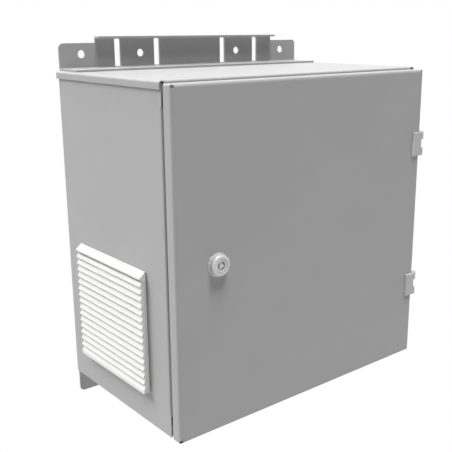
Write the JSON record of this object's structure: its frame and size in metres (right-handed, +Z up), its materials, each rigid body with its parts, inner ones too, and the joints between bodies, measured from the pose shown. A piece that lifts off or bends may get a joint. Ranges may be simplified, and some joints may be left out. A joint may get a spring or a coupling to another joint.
{
  "type": "pole-mount utility cabinet",
  "caption": "Square sheet-metal utility cabinet with a hinged pan door, quarter-turn lock, louvred side vent and slotted brackets for straps or wall bolts.",
  "frame": {"origin": "on the wall plane (rear faces of the bracket webs), in the middle of the four outer bolt holes", "axes": "+Z up, +Y into the wall, so the door faces -Y, and +X to the right of someone facing the door"},
  "size_m": [0.4158, 0.2567, 0.482],
  "materials": {
    "powder_coat": "fine satin powder coat, light grey",
    "zinc_plated_steel": "bright zinc plate",
    "galvanised_steel": "galvanised, dull spangle",
    "die_cast_zinc": "cast, satin grey",
    "nickel_plated_zinc": "satin nickel plate",
    "brass": "plain brass",
    "abs_plastic": "moulded, white, satin",
    "foam_rubber": "closed-cell foam, black",
    "filter_fibre": "bonded fibre mat"
  },
  "bodies": {
    "cabinet": {"body_shell": "powder_coat", "roof_cap": "powder_coat", "floor_pan": "powder_coat", "upper_bracket": "powder_coat", "lower_bracket": "powder_coat", "bracket_nuts": "zinc_plated_steel", "gland_plate": "powder_coat", "gland_gasket": "foam_rubber", "gland_screws": "zinc_plated_steel", "gland_nuts": "zinc_plated_steel", "mounting_plate": "galvanised_steel", "plate_studs_set": "zinc_plated_steel", "plate_nuts": "zinc_plated_steel", "earth_stud": "brass", "earth_nuts": "brass", "upper_hinge_frame_leaf": "die_cast_zinc", "lower_hinge_frame_leaf": "die_cast_zinc", "upper_hinge_pin": "zinc_plated_steel", "lower_hinge_pin": "zinc_plated_steel", "frame_leaf_screws": "zinc_plated_steel", "frame_leaf_nuts": "zinc_plated_steel", "vent_frame": "abs_plastic", "vent_gasket": "foam_rubber", "filter_mat": "filter_fibre"},
    "door": {"door_panel": "powder_coat", "door_gasket": "foam_rubber", "upper_hinge_door_leaf": "die_cast_zinc", "lower_hinge_door_leaf": "die_cast_zinc", "door_leaf_nuts": "zinc_plated_steel", "lock_housing": "nickel_plated_zinc", "lock_washer": "zinc_plated_steel", "lock_nut": "zinc_plated_steel"},
    "lock": {"lock_plug": "nickel_plated_zinc", "lock_cam": "zinc_plated_steel", "cam_screw": "zinc_plated_steel"},
    "vent_door": {"vent_cover": "abs_plastic"}
  },
  "joints": [
    {"name": "door_swing", "type": "hinge", "parent": "cabinet", "child": "door", "pos_m": [0.20365, -0.2402, 0], "axis": [0, 0, 1], "range_deg": [0, 120]},
    {"name": "lock_turn", "type": "hinge", "parent": "door", "child": "lock", "pos_m": [-0.145, -0.2487, 0], "axis": [0, 1, 0], "range_deg": [0, 90]},
    {"name": "vent_cover_swing", "type": "hinge", "parent": "cabinet", "child": "vent_door", "pos_m": [-0.2046, -0.114, -0.0195], "axis": [0, 1, 0], "range_deg": [0, 60]}
  ]
}
